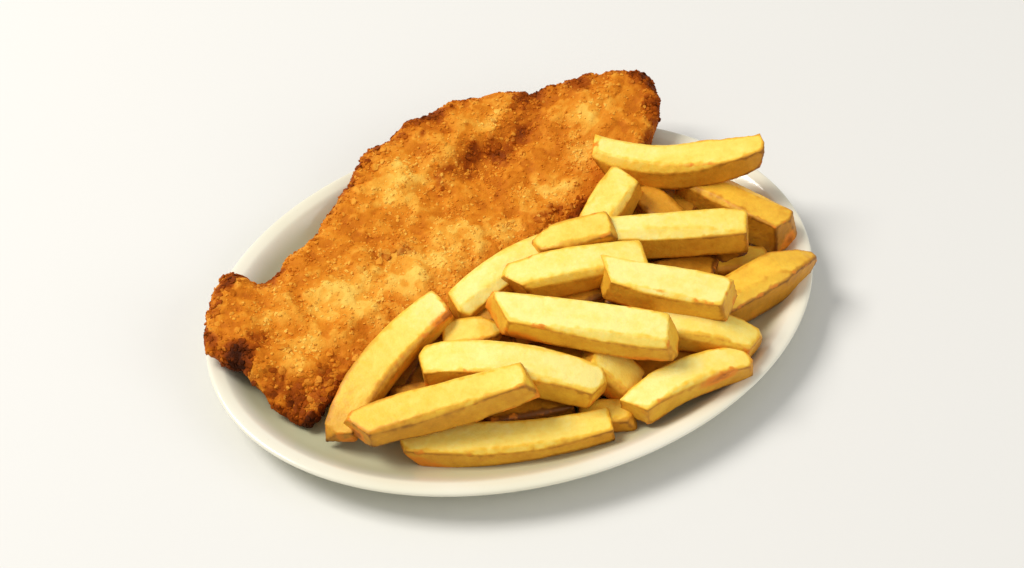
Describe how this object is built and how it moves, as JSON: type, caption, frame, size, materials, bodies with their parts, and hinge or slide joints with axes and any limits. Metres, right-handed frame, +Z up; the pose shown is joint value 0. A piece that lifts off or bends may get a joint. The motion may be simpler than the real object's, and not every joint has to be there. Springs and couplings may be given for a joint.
{
  "type": "plate of crumbed chicken cutlet and fries",
  "caption": "Oval plate with a large crumbed fried chicken cutlet along its back edge and a heap of thick-cut fries in front.",
  "frame": {"origin": "Middle of the whole part's footprint, on the surface that the plate's foot ring stands on.", "axes": "+X runs along the plate's long axis towards the fries' end, +Y towards the cutlet's side, +Z up."},
  "size_m": [0.286, 0.223, 0.0478],
  "materials": {
    "glazed_ceramic": "gloss",
    "crumb_crust": "matte",
    "fried_potato": "satin"
  },
  "bodies": {
    "root": {"plate": "glazed_ceramic", "cutlet": "crumb_crust", "fries": "fried_potato"}
  },
  "joints": []
}
